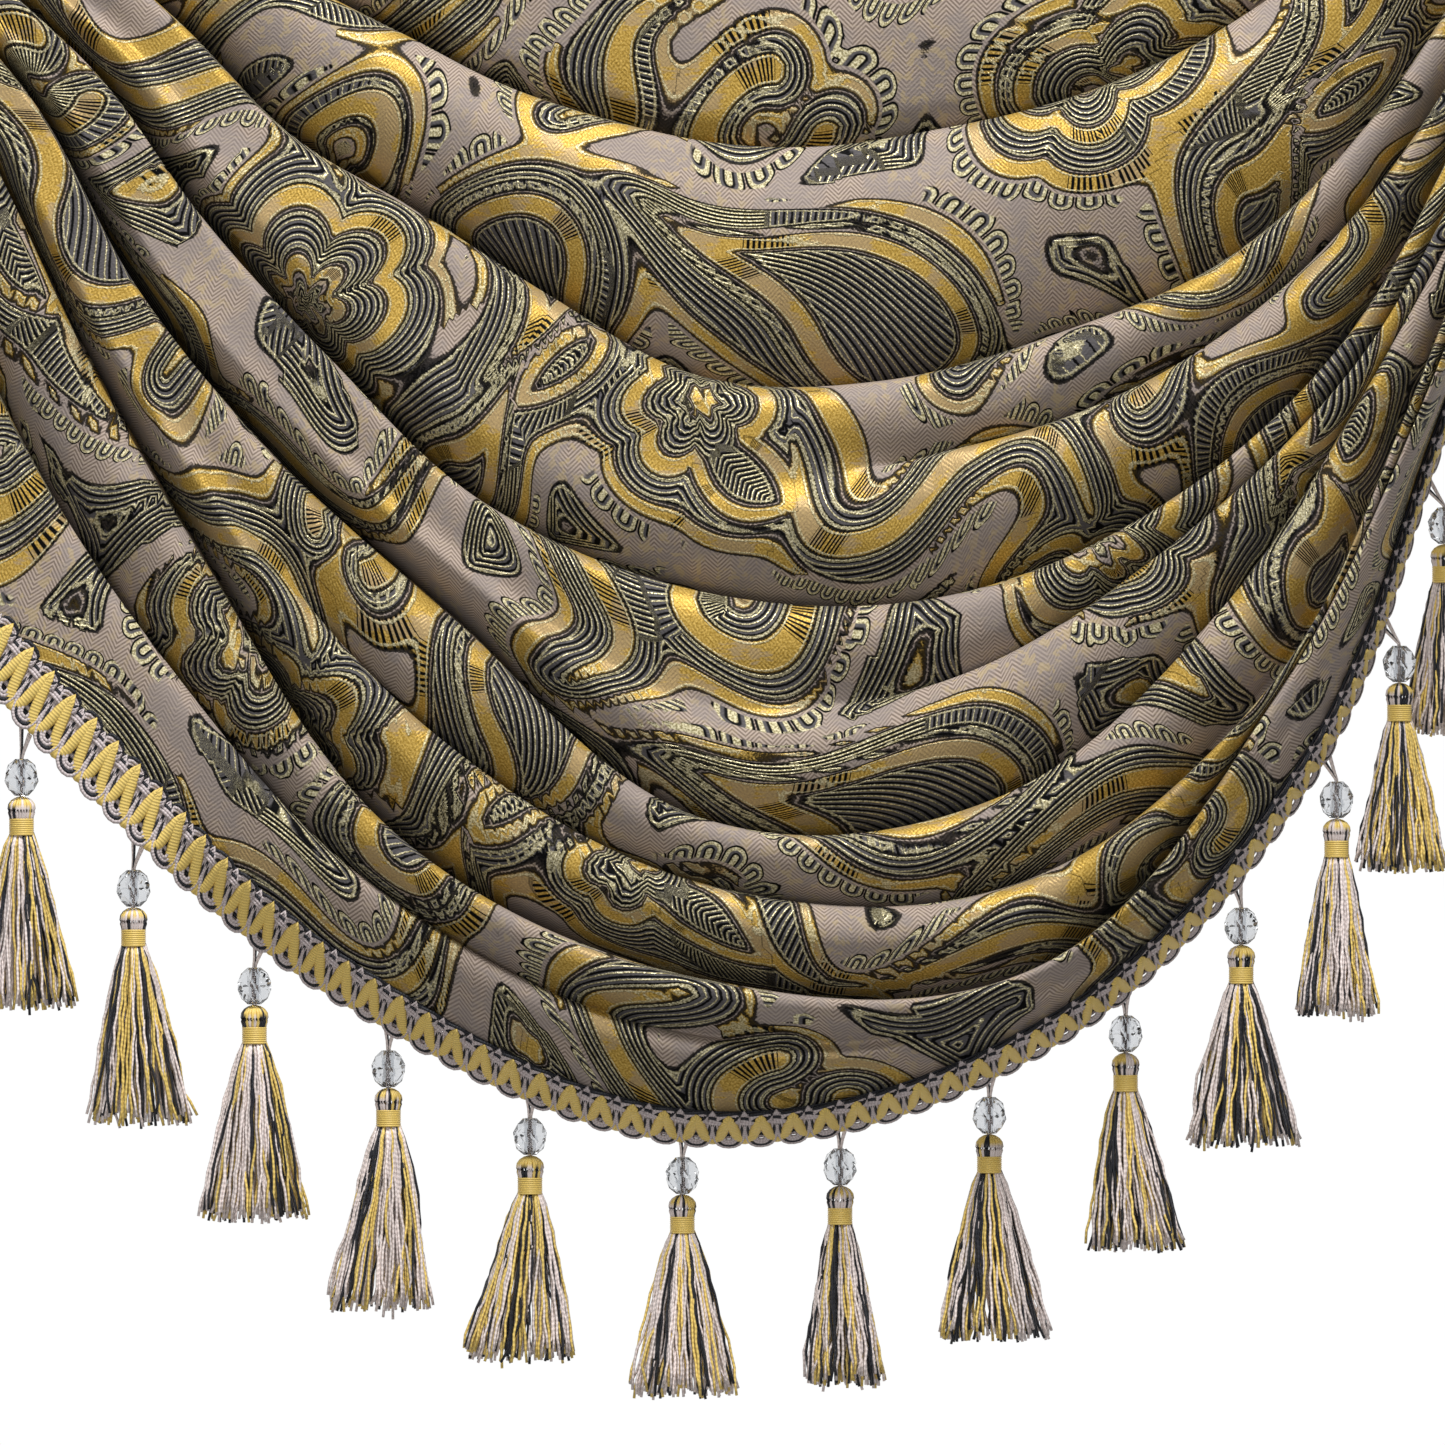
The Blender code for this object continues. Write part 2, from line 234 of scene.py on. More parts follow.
def crease_lines(angles):
    """Distances of the top middle, every crease, the gimp's top and the hem on every ray."""
    lines = [np.zeros(len(angles))]
    lines += [along(fold["reach"], FOLD_RAYS, angles) for fold in FOLDS]
    lines += [along(GIMP_TOP, FOLD_RAYS, angles), along(HEM, FOLD_RAYS, angles)]
    return np.array(lines)


def crease_depths(angles):
    none = np.zeros(len(angles))
    depths = [np.maximum(0.0, along(fold["depth"], DEPTH_RAYS, angles)) for fold in FOLDS]
    return np.array([none] + depths + [none, none])


def smooth_step(value):
    t = np.clip(value, 0.0, 1.0)
    return t * t * (3.0 - 2.0 * t)


def smooth_forward(angles, radius, lines):
    """How far the cloth stands forward before its creases are pressed in."""
    down = np.maximum(0.0, np.cos(np.radians(angles)))
    share = radius / lines[-1]
    belly = BELLY * down ** 1.2 * np.sin(0.6 * math.pi * share ** 1.2)
    stack = SHOULDER_STACK * (1.0 - down) * share
    turn = np.maximum(0.0, (radius - lines[-4]) / (lines[-2] - lines[-4]))
    return CLOTH_THICKNESS + belly + stack - along(HEM_TURN_BACK, FOLD_RAYS, angles) * turn ** 2


def sharpness(depth):
    """0 for a shallow crease, which is a soft valley, up to 1 for a deep one."""
    return smooth_step((depth - SOFT_DEPTH) / SOFT_DEPTH)


def roll_profile(distance, reach, depth, slant=0.0):
    """1 in the crease, 0 at the crest, with the round side of a roll between them."""
    u = np.clip(distance / reach, 0.0, 1.0)
    roll = 1.0 - np.sqrt(1.0 - (1.0 - u) ** 2)
    roll = roll + slant * ((1.0 - u) ** 1.5 - roll)
    valley = 1.0 - smooth_step(u)
    return valley + sharpness(depth) * (roll - valley)


def gully(distance, depth, most, reach):
    """Extra depth close to a deep crease, so that it stays dark."""
    return np.minimum(most, GULLY_SHARE * depth) * sharpness(depth) * (1.0 - smooth_step(distance / reach))


def lip_shift(distance, depth, width):
    """How much nearer the middle a roll's upper edge lies, so that it covers the pocket above."""
    size = np.minimum(1.0, width / NARROW_ROLL)
    lean = np.minimum(MOST_LEAN, LIP_LEAN * depth) * size
    height = LIP_HEIGHT * size
    reach = LIP_REACH * size
    t = np.clip((distance - height) / (reach - height), 0.0, 1.0)
    beyond = reach * t * t * (3.0 - 2.0 * t) + (reach - height) * t * t * (t - 1.0)
    inside = lean * (1.0 - smooth_step(distance / height))
    shifted = np.where(distance < height, inside, beyond)
    return np.where(distance < reach, sharpness(depth) * (shifted - distance), 0.0)


def wrinkles(angles, radius):
    """Small soft buckles along the folds."""
    long_waves = np.sin(radius / 9.5 + angles / 11.0 + 1.0) * np.sin(angles / 9.0 + radius / 60.0)
    short_waves = np.sin(radius / 5.5 - angles / 7.0) * np.sin(angles / 3.7 - radius / 45.0 + 2.0)
    panel = np.sin(radius / 11.0 - angles / 24.0) * np.clip((radius - 30.0) / 60.0, 0.0, 1.0)
    return 0.55 * long_waves + 0.18 * short_waves + 0.5 * panel


def band_shares(count):
    """Rows of one band, closer together towards its two creases."""
    even = np.arange(count) / count
    return 0.45 * even + 0.55 * (0.5 - 0.5 * np.cos(math.pi * even))


def press_in(below, above, width, upper_depth, lower_depth, most):
    """How far the creases at both edges of a band press its cloth back."""
    shallow = np.minimum(1.0, width / NARROW_ROLL)
    room = np.maximum(shallow, 0.1)
    rounded = np.minimum(width, ROUNDEST_ROLL)
    upper = upper_depth * roll_profile(below, TOP_SHARE * rounded, upper_depth)
    lower = lower_depth * roll_profile(above, (1.0 - TOP_SHARE) * rounded, lower_depth, UNDERSIDE_SLANT)
    upper = upper + gully(below, upper_depth, most, GULLY_BELOW * room)
    lower = lower + gully(above, lower_depth, most, GULLY_ABOVE * room)
    return shallow * (upper + lower)


def cloth_section(angles):
    """Distance from the middle and forward distance of every row of the cloth on every ray."""
    lines = crease_lines(angles)
    depths = crease_depths(angles) * CREASE_DEPTH
    most = along(MOST_GULLY, DEPTH_RAYS, angles)
    radii = []
    forwards = []
    for band, count in enumerate(BAND_ROWS):
        width = lines[band + 1] - lines[band]
        pocket = np.minimum(MOST_LEAN, LIP_LEAN * depths[band + 1]) * sharpness(depths[band + 1])
        pocket = pocket * np.minimum(1.0, width / NARROW_ROLL)
        for share in band_shares(count):
            below = share * width
            above = (1.0 - share) * width
            radius = lines[band] + below
            forward = smooth_forward(angles, radius, lines) + wrinkles(angles, radius)
            forwards.append(forward - press_in(below, above, width, depths[band], depths[band + 1], most))
            radius = radius + pocket * np.clip(1.0 - above / POCKET_REACH, 0.0, 1.0) ** 2
            if band:
                radius = radius + lip_shift(below, depths[band], width)
            radii.append(radius)
    radii[0] = np.full(len(angles), FIRST_ROW)
    top = smooth_forward(angles, lines[-2], lines) + wrinkles(angles, lines[-2])
    across = lines[-1] - lines[-2]
    fall = np.sqrt(np.maximum(0.0, GIMP_WIDTH ** 2 - across ** 2))
    for share in np.linspace(0.0, 1.0, HEM_ROWS):
        radii.append(lines[-2] + share * across)
        forwards.append(top - share * fall)
    return np.array(radii), np.array(forwards)


def placed(angles, radius, forward):
    """Points in the part's frame for distances on rays."""
    turn = np.radians(angles)
    return np.stack((radius * np.sin(turn), -forward, -radius * np.cos(turn)), axis=-1)


def grid_faces(rows, columns):
    index = np.arange(rows * columns).reshape(rows, columns)
    corners = (index[:-1, :-1], index[1:, :-1], index[1:, 1:], index[:-1, 1:])
    return np.stack(corners, axis=-1).reshape(-1, 4)


def make_piece(name, points, faces, material, nodes, smooth=True):
    """Mesh piece that rides on the part and stands for some of its nodes."""
    mesh = bpy.data.meshes.new(name)
    mesh.from_pydata((np.asarray(points) * MM).tolist(), [], [list(face) for face in faces])
    mesh.polygons.foreach_set("use_smooth", np.full(len(mesh.polygons), smooth))
    mesh.materials.append(material)
    mesh.update()
    piece = bpy.data.objects.new(name, mesh)
    bpy.context.scene.collection.objects.link(piece)
    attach(piece, "root")
    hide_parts(*nodes)
    return piece


def add_values(piece, name, values):
    attribute = piece.data.attributes.new(name, "FLOAT", "POINT")
    attribute.data.foreach_set("value", np.asarray(values, np.float32).ravel())


def add_vectors(piece, name, values):
    attribute = piece.data.attributes.new(name, "FLOAT_VECTOR", "POINT")
    attribute.data.foreach_set("vector", np.asarray(values, np.float32).ravel())


def add_colours(piece, name, colours):
    attribute = piece.data.color_attributes.new(name, "FLOAT_COLOR", "POINT")
    opaque = np.concatenate((colours, np.ones((len(colours), 1))), axis=1)
    attribute.data.foreach_set("color", opaque.astype(np.float32).ravel())


# Figures of the cloth

def figure_place(figure, u, v):
    """Position in the nearest copy of one figure."""
    x0, y0 = figure["at"]
    column = np.round((u - x0) / REPEAT_WIDTH)
    x = u - x0 - column * REPEAT_WIDTH
    y = v - y0 - 0.5 * REPEAT_HEIGHT * np.mod(column, 2)
    y = y - REPEAT_HEIGHT * np.round(y / REPEAT_HEIGHT)
    turn = math.radians(figure["turn"])
    return x * math.cos(turn) + y * math.sin(turn), y * math.cos(turn) - x * math.sin(turn)


def drop_shape(x, y, size, curl):
    """Bent drop: distance to its outline, lengthwise cords, and length along the outline."""
    tip = 0.16 * size
    height = 1.9 * size
    x = x + curl * np.where(y > -0.3 * size, (y + 0.3 * size) ** 2, 0.0) / (3.2 * size)
    cords = 0.72 * x / np.maximum(0.25, 1.0 - 0.45 * y / height)
    x = np.abs(x)
    slant = (size - tip) / height
    straight = math.sqrt(1.0 - slant * slant)
    level = straight * y - slant * x
    low = np.hypot(x, y) - size
    high = np.hypot(x, y - height) - tip
    side = straight * x + slant * y - size
    distance = np.where(level < 0, low, np.where(level > straight * height, high, side))
    turn = math.pi / 2 + math.asin(slant)
    flank = size * turn + np.clip(level, 0.0, straight * height)
    length = np.where(level < 0, size * np.arctan2(x, -y), flank)
    return distance, cords, length


def flower_shape(x, y, size, curl):
    """Flower of six lobes, with rays of cords."""
    turn = np.arctan2(x, y)
    lobes = np.abs(np.cos(3.0 * turn)) ** 0.8
    distance = 0.93 * (np.hypot(x, y) - size * (0.80 + 0.24 * lobes))
    return distance, distance, np.abs(turn) * size


def ribbon_shape(x, y, size, curl):
    """Waving ribbon that narrows towards both ends."""
    rate = 2.0 * math.pi / (1.7 * size)
    slope = curl * rate * np.cos(x * rate)
    across = (y - curl * np.sin(x * rate)) / np.sqrt(1.0 + slope ** 2)
    beyond = np.maximum(np.abs(x) - size, 0.0)
    half = 1.2 + 3.0 * np.clip(1.0 - (x / size) ** 2, 0.0, 1.0)
    return np.hypot(across, beyond) - half, across, x + size


def hook_shape(x, y, size, curl):
    """Open ring with round ends."""
    opening = 2.3
    turn = np.arctan2(x, y)
    ring = np.abs(np.hypot(x, y) - size)
    end = np.hypot(np.abs(x) - size * math.sin(opening), y - size * math.cos(opening))
    return np.where(np.abs(turn) < opening, ring, end) - 4.2, ring, np.abs(turn) * size


def leaf_shape(x, y, size, curl):
    """Pointed leaf with slanting veins."""
    radius = 1.35 * size
    offset = math.sqrt(radius * radius - size * size)
    pointed = (np.abs(y) - size) * offset > np.abs(x) * size
    tip = np.hypot(x, np.abs(y) - size)
    side = np.hypot(np.abs(x) + offset, y) - radius
    return np.where(pointed, tip, side), y + 0.9 * np.abs(x), np.abs(np.arctan2(x, y)) * size


SHAPES = {"drop": drop_shape, "flower": flower_shape, "ribbon": ribbon_shape,
          "hook": hook_shape, "leaf": leaf_shape}
# Zones inside each figure: what they are, and from which to which distance inside the outline
INNER_ZONES = {
    "drop": (("comb", 12.5, 99.0), ("gold", 4.5, 11.5), ("comb", 0.0, 3.5)),
    "flower": (("gold", 0.0, 6.0), ("comb", 7.0, 17.0), ("gold", 18.0, 23.0), ("comb", 25.0, 99.0)),
    "ribbon": (("gold", 0.0, 99.0),),
    "hook": (("gold", 0.0, 99.0),),
    "leaf": (("comb", 6.5, 99.0), ("gold", 1.0, 5.5)),
}


def between(value, low, high):
    """Signed distance to a zone, negative inside it."""
    return np.maximum(low - value, value - high)


def slow_waves(u, v, seed):
    """Slow drift between -1 and 1, so that no two rings of cords are alike."""
    first = np.sin(u / 27.0 + 1.7 * seed) * np.cos(v / 33.0 - 0.9 * seed)
    second = np.sin((u + v) / 41.0 + 2.3 * seed) * np.cos((u - v) / 23.0 + seed)
    return 0.6 * first + 0.6 * second


def cloth_fields(u, v):
    """Signed distances to the gold, corded and looped zones, and the phases of cords and loops."""
    u, v = (u + 7.0 * np.sin(v / 31.0 + 0.5) + 3.0 * np.sin(v / 13.0 + u / 29.0),
            v + 7.0 * np.sin(u / 37.0 + 1.1) + 3.0 * np.sin(u / 15.0 - v / 23.0))
    nearest = np.full(u.shape, 1e9)
    second = np.full(u.shape, 1e9)
    total = np.zeros(u.shape)
    comb = np.zeros(u.shape)
    along_loop = np.zeros(u.shape)
    inner = {"gold": np.full(u.shape, 99.0), "comb": np.full(u.shape, 99.0)}
    for figure in FIGURES:
        x, y = figure_place(figure, u, v)
        distance, cords, length = SHAPES[figure["kind"]](x, y, figure["size"], figure["curl"])
        owner = distance < nearest
        second = np.where(owner, nearest, np.minimum(second, distance))
        nearest = np.where(owner, distance, nearest)
        total = total + np.exp(-np.maximum(distance, -30.0) / BLEND)
        comb = np.where(owner, cords, comb)
        along_loop = np.where(owner, length / LOOP_PITCH, along_loop)
        for name in inner:
            zone = np.full(u.shape, 99.0)
            for kind, low, high in INNER_ZONES[figure["kind"]]:
                if kind == name:
                    zone = np.minimum(zone, between(-distance, low, high))
            inner[name] = np.where(owner, zone, inner[name])
    rounding = np.maximum(0.0, nearest + BLEND * np.log(total))
    ring = nearest - rounding * smooth_step(nearest / BLEND_START)
    first_cords = 6.5 + 5.5 * slow_waves(u, v, 1)
    gold_start = first_cords + 1.0
    gold_width = 4.2 + 4.0 * slow_waves(u, v, 2)
    gold_end = gold_start + np.where(gold_width > 2.4, gold_width, -3.0)
    loop_start = np.maximum(gold_end, gold_start) + 1.4
    cords_start = loop_start + 11.0 + 3.0 * slow_waves(u, v, 4)
    cords_end = cords_start + 6.5 + 6.0 * slow_waves(u, v, 5)
    return {
        "gold": np.minimum(inner["gold"], np.minimum(between(ring, gold_start, gold_end),
                                                     between(ring, cords_end + 1.0, cords_end + 5.0))),
        "cords": np.minimum(between(ring, 0.0, first_cords), between(ring, cords_start, cords_end)),
        "comb": inner["comb"],
        "loops": np.maximum(between(ring, loop_start, loop_start + LOOP_HEIGHT),
                            np.maximum(2.5 - 0.5 * (second - nearest), -6.0 * slow_waves(u, v, 3) - 1.0)),
        "near": nearest,
        "crossing": slow_waves(u, v, 6) - 0.42,
        "comb_phase": comb,
        "loop_across": ring - loop_start,
        "loop_along": along_loop,
    }


def cord_slope(here, beside, above):
    """How fast the phase of the cords runs, so that every cord can be drawn equally thick."""
    def phase(fields):
        ringed = np.where(here["crossing"] > 0.0, fields["loop_along"] * LOOP_PITCH, fields["near"])
        return np.where(here["comb"] < 0.0, fields["comb_phase"], ringed)

    slope = np.hypot(phase(beside) - phase(here), phase(above) - phase(here)) / SLOPE_STEP
    return np.clip(slope, 0.3, 1.8)


CLOTH_FIELDS = ("gold", "cords", "comb", "loops", "near", "crossing", "comb_phase", "loop_across",
                "loop_along", "slope")


class Shader:
    """Node material, with short calls for the maths of woven figures."""

    def __init__(self, name):
        self.material = bpy.data.materials.new(name)
        self.material.use_nodes = True
        self.tree = self.material.node_tree
        self.surface = self.tree.nodes["Principled BSDF"]

    def link(self, value, socket):
        if isinstance(value, bpy.types.NodeSocket):
            self.tree.links.new(value, socket)
        else:
            socket.default_value = value

    def math(self, operation, *values):
        node = self.tree.nodes.new("ShaderNodeMath")
        node.operation = operation
        for value, socket in zip(values, node.inputs):
            self.link(value, socket)
        return node.outputs[0]

    def plus(self, first, second):
        return self.math("ADD", first, second)

    def minus(self, first, second):
        return self.math("SUBTRACT", first, second)

    def times(self, first, second):
        return self.math("MULTIPLY", first, second)

    def field(self, name):
        node = self.tree.nodes.new("ShaderNodeAttribute")
        node.attribute_name = name
        return node

    def step(self, value, low, high):
        """0 below low and 1 above high, smooth between them."""
        node = self.tree.nodes.new("ShaderNodeMapRange")
        node.interpolation_type = "SMOOTHSTEP"
        self.link(value, node.inputs["Value"])
        self.link(low, node.inputs["From Min"])
        self.link(high, node.inputs["From Max"])
        return node.outputs["Result"]

    def fade(self, value, low, high):
        """1 below low and 0 above high."""
        return self.minus(1.0, self.step(value, low, high))

    def stripes(self, place, pitch):
        """Smooth stripes from 0 to 1 that return once every pitch."""
        wave = self.math("SINE", self.times(place, 2.0 * math.pi / pitch))
        return self.step(wave, -1.0, 1.0)

    def axes(self, vector):
        split = self.tree.nodes.new("ShaderNodeSeparateXYZ")
        self.link(vector, split.inputs[0])
        return split.outputs["X"], split.outputs["Y"]

    def mix(self, share, low, high):
        node = self.tree.nodes.new("ShaderNodeMix")
        node.data_type = "RGBA"
        sockets = [socket for socket in node.inputs if socket.enabled]
        self.link(share, sockets[0])
        for colour, socket in zip((low, high), sockets[1:]):
            self.link(colour if isinstance(colour, bpy.types.NodeSocket) else (*colour, 1.0), socket)
        return [socket for socket in node.outputs if socket.enabled][0]

    def blend(self, share, low, high):
        """Number between low and high."""
        node = self.tree.nodes.new("ShaderNodeMix")
        sockets = [socket for socket in node.inputs if socket.enabled]
        for value, socket in zip((share, low, high), sockets):
            self.link(value, socket)
        return [socket for socket in node.outputs if socket.enabled][0]

    def noise(self, vector, scale, detail=2.0, stretch=None):
        node = self.tree.nodes.new("ShaderNodeTexNoise")
        if stretch:
            mapping = self.tree.nodes.new("ShaderNodeMapping")
            mapping.inputs["Scale"].default_value = stretch
            self.link(vector, mapping.inputs["Vector"])
            vector = mapping.outputs[0]
        self.link(vector, node.inputs["Vector"])
        node.inputs["Scale"].default_value = scale
        node.inputs["Detail"].default_value = detail
        return node.outputs[0]

    def bump(self, height, strength, distance):
        node = self.tree.nodes.new("ShaderNodeBump")
        node.inputs["Strength"].default_value = strength
        node.inputs["Distance"].default_value = distance
        self.link(height, node.inputs["Height"])
        self.link(node.outputs[0], self.surface.inputs["Normal"])

    def set(self, **values):
        for name, value in values.items():
            self.link(value, self.surface.inputs[name.replace("_", " ").title().replace("Ior", "IOR")])
        return self.material


def herringbone(shader, u, v, width, thread):
    """Stripes that turn back and forth in columns of one width."""
    return shader.stripes(shader.plus(v, shader.math("PINGPONG", u, width)), thread)


def cord_line(shader, phase, slope, start, width, soft):
    """1 on a line that returns once every pitch."""
    middle = shader.math("PINGPONG", shader.minus(phase, start * CORD_PITCH), 0.5 * CORD_PITCH)
    middle = shader.math("DIVIDE", middle, slope)
    return shader.fade(middle, 0.5 * width - soft, 0.5 * width + soft)


def cord_phase(shader, field, length, ragged):
    """Place across the cords, which ring a figure, cross that ring or fill the figure."""
    phase = shader.blend(shader.step(field["crossing"], -0.02, 0.02), field["near"], length)
    phase = shader.blend(shader.step(field["comb"], -0.05, 0.05), field["comb_phase"], phase)
    return shader.plus(phase, shader.times(ragged, 0.45))


def ground_colour(shader, flat, weave, floats):
    """Taupe herringbone with dull patches, yellow flecks and floating threads."""
    ground = shader.mix(weave, *GROUND_TONES)
    patches = shader.step(shader.noise(flat, 0.055, 5.0), 0.46, 0.54)
    ground = shader.mix(shader.times(patches, 0.55), ground, GROUND_PATCH)
    flecks = shader.step(shader.noise(flat, 0.30, 3.0), 0.53, 0.58)
    flecks = shader.times(flecks, shader.step(shader.noise(flat, 0.02, 1.0), 0.44, 0.58))
    ground = shader.mix(shader.times(flecks, 0.55), ground, GROUND_FLECK)
    return shader.mix(shader.times(shader.step(floats, 0.55, 0.62), 0.22), ground, GROUND_FLOAT)


def gold_colour(shader, flat, satin, floats):
    """Gold satin with a fine twill and worn patches."""
    u, v = shader.axes(flat)
    twill = shader.stripes(shader.plus(shader.times(u, 5.2), shader.times(v, 3.1)), 2.0 * math.pi)
    gold = shader.mix(shader.step(satin, 0.36, 0.64), *GOLD_TONES)
    gold = shader.mix(shader.times(twill, 0.30), gold, GOLD_TWILL)
    worn = shader.minus(shader.noise(flat, 0.06, 4.0), shader.times(floats, 0.25))
    return shader.mix(shader.times(shader.step(worn, 0.385, 0.435), 0.6), gold, GOLD_WORN)


def rung_lines(shader, length):
    """Groups of dark bars across the gold bands."""
    place = shader.math("PINGPONG", length, 0.5 * RUNG_PERIOD)
    bar = shader.math("ABSOLUTE", shader.minus(shader.math("PINGPONG", place, 1.3), 0.65))
    return shader.times(shader.step(bar, 0.45, 0.25), shader.step(place, RUNG_START, RUNG_START + 0.1))


def loop_colour(shader, field, length, cord_colour, slate):
    """Rounded loops outside the gold bands: their colour, and 1 where they are."""
    cell = shader.math("PINGPONG", length, 0.5 * LOOP_PITCH)
    rise = shader.math("MAXIMUM", shader.minus(field["loop_across"], 2.6), 0.0)
    reach = shader.math("SQRT", shader.plus(shader.times(cell, cell), shader.times(rise, rise)))
    petal = shader.mix(shader.step(reach, 0.5, 0.7), cord_colour, BLACK)
    petal = shader.mix(shader.step(reach, 0.9, 1.2), petal, slate)
    petal = shader.mix(shader.step(reach, 1.45, 1.7), petal, cord_colour)
    petal = shader.mix(shader.step(reach, 2.2, 2.4), petal, BLACK)
    return petal, shader.times(shader.fade(field["loops"], -0.15, 0.15), shader.fade(reach, 2.65, 2.8))


def jacquard(name):
    """Figured cloth: gold bands, slate fields with raised cords, and loops on a taupe ground."""
    shader = Shader(name)
    flat = shader.field("flat").outputs["Vector"]
    field = {key: shader.field(key).outputs["Fac"] for key in CLOTH_FIELDS}
    threads = shader.noise(flat, 1.3, 1.0)
    ragged = shader.times(shader.minus(threads, 0.5), 0.6)
    gold_edge = shader.plus(field["gold"], ragged)
    cords_edge = shader.plus(shader.math("MINIMUM", field["cords"], field["comb"]), ragged)
    length = shader.times(field["loop_along"], LOOP_PITCH)

    weave = herringbone(shader, *shader.axes(flat), WEAVE_WIDTH, WEAVE_THREAD)
    floats = shader.noise(flat, 1.0, 2.0, stretch=(0.22, 1.3, 1.0))
    weft = shader.noise(flat, 1.0, 2.0, stretch=(0.35, 2.4, 1.0))
    satin = shader.noise(flat, 1.5, 2.0)
    ground = ground_colour(shader, flat, weave, floats)
    gold = shader.mix(rung_lines(shader, length), gold_colour(shader, flat, satin, floats), BLACK)
    slate = shader.mix(weft, *SLATE_TONES)
    cord_colour = shader.mix(shader.step(satin, 0.38, 0.62), *CORD_TONES)
    phase = cord_phase(shader, field, length, ragged)
    cord = cord_line(shader, phase, field["slope"], *CORD_LINE)
    # Black painted shadow: a dark line beside every raised cord that stands for the cord's shade; the bump
    # also sinks it a little
    shadow = cord_line(shader, phase, field["slope"], *SHADOW_LINE)
    corded = shader.mix(cord, shader.mix(shadow, slate, BLACK), cord_colour)
    petal, in_loops = loop_colour(shader, field, length, cord_colour, slate)

    outline = shader.math("ABSOLUTE", shader.math("MINIMUM", gold_edge, cords_edge))
    outline = shader.fade(outline, 0.25, 0.50)
    in_gold = shader.fade(gold_edge, -0.2, 0.2)
    in_cords = shader.fade(cords_edge, -0.2, 0.2)
    rim = shader.math("MINIMUM", shader.math("ABSOLUTE", shader.plus(gold_edge, 0.85)),
                      shader.math("ABSOLUTE", shader.plus(cords_edge, 0.85)))
    rim = shader.fade(rim, 0.15, 0.38)
    colour = shader.mix(in_loops, ground, petal)
    colour = shader.mix(in_cords, colour, corded)
    colour = shader.mix(in_gold, colour, gold)
    colour = shader.mix(shader.times(rim, 0.75), colour, cord_colour)
    colour = shader.mix(shader.times(outline, 0.92), colour, BLACK)

    raised = shader.times(cord, in_cords)
    height = shader.plus(raised, shader.times(rim, 0.7))
    height = shader.minus(height, shader.times(outline, 0.6))
    height = shader.minus(height, shader.times(shader.times(shadow, in_cords), 0.6))
    height = shader.plus(height, shader.times(weave, 0.16))
    height = shader.plus(height, shader.times(threads, 0.35))
    shader.bump(height, 0.75, 0.00035)

    shine = shader.math("MAXIMUM", shader.times(raised, 0.5), shader.times(in_gold, 0.32))
    rough = shader.minus(0.62, shader.times(shine, 0.42))
    return shader.set(base_color=colour, metallic=shine, roughness=rough, sheen_weight=0.02,
                      sheen_roughness=0.4, specular_ior_level=0.05)


def cloth_back(name):
    """Reverse of the cloth: the figures don't show, only a dull ribbed weave with floating threads."""
    shader = Shader(name)
    flat = shader.field("flat").outputs["Vector"]
    u, v = shader.axes(flat)
    floats = shader.noise(flat, 1.0, 3.0, stretch=(0.12, 1.6, 1.0))
    gold = shader.step(floats, 0.56, 0.62)
    dark = shader.step(shader.noise(flat, 1.0, 3.0, stretch=(0.10, 1.2, 1.0)), 0.55, 0.66)
    colour = shader.mix(herringbone(shader, u, v, 3.6, 1.15), *REVERSE_TONES)
    colour = shader.mix(shader.times(gold, 0.55), colour, REVERSE_GOLD)
    colour = shader.mix(shader.times(dark, 0.6), colour, REVERSE_DARK)
    shader.bump(shader.plus(shader.stripes(v, 1.4), floats), 0.5, 0.0003)
    return shader.set(base_color=colour, roughness=0.72, sheen_weight=0.15, sheen_roughness=0.5)


def yarn_material(name, rib_pitch, roughness, rib_depth):
    """Dyed rayon yarn: the mesh carries its colour and how far along the yarn a point is."""
    shader = Shader(name)
    tint = shader.field("tint").outputs["Color"]
    length = shader.field("length").outputs["Fac"]
    place = shader.tree.nodes.new("ShaderNodeTexCoord").outputs["Object"]
    twist = shader.stripes(length, rib_pitch)
    spots = shader.noise(place, 900.0, 2.0)
    dull = shader.mix(0.5, tint, (0.0, 0.0, 0.0))
    colour = shader.mix(shader.times(twist, rib_depth), tint, dull)
    colour = shader.mix(shader.times(spots, 0.3), colour, dull)
    shader.bump(twist, rib_depth, 0.0002)
    return shader.set(base_color=colour, roughness=roughness, sheen_weight=0.08, sheen_roughness=0.35,
                      specular_ior_level=0.4)


def glass_material(name):
    """Clear glass with a slight tint and fine scratches."""
    shader = Shader(name)
    place = shader.tree.nodes.new("ShaderNodeTexCoord").outputs["Object"]
    tone = shader.mix(shader.noise(place, 300.0, 1.0), *GLASS_TONES)
    scratches = shader.noise(place, 1500.0, 2.0)
    rough = shader.times(scratches, 0.16)
    return shader.set(base_color=tone, roughness=rough, transmission_weight=1.0, ior=1.36)


# Pieces

def flat_places(angles, points):
    """Where every point of the hung cloth lies when the cloth is laid flat, in millimetres.
    Each deep fold starts a section of its own, because the pleats at the shoulders hide cloth."""
    steps = np.linalg.norm(np.diff(points, axis=0), axis=2)
    reach = np.hypot(points[..., 0], points[..., 2])
    section_rows = [sum(BAND_ROWS[:fold + 1]) for fold in DEEP_FOLDS]
    run = [np.full(len(angles), FIRST_ROW)]
    turns = [np.radians(angles)]
    spread = 1.0
    for row in range(1, len(points)):
        length = run[-1] + steps[row - 1]
        if row in section_rows:
            length = reach[row] + np.mean(length - reach[row])
            spread = np.mean(reach[row] / length)
        run.append(length)
        turns.append(np.radians(angles) * spread)
    run = np.array(run)
    turns = np.array(turns)
    return run * np.sin(turns), -run * np.cos(turns)


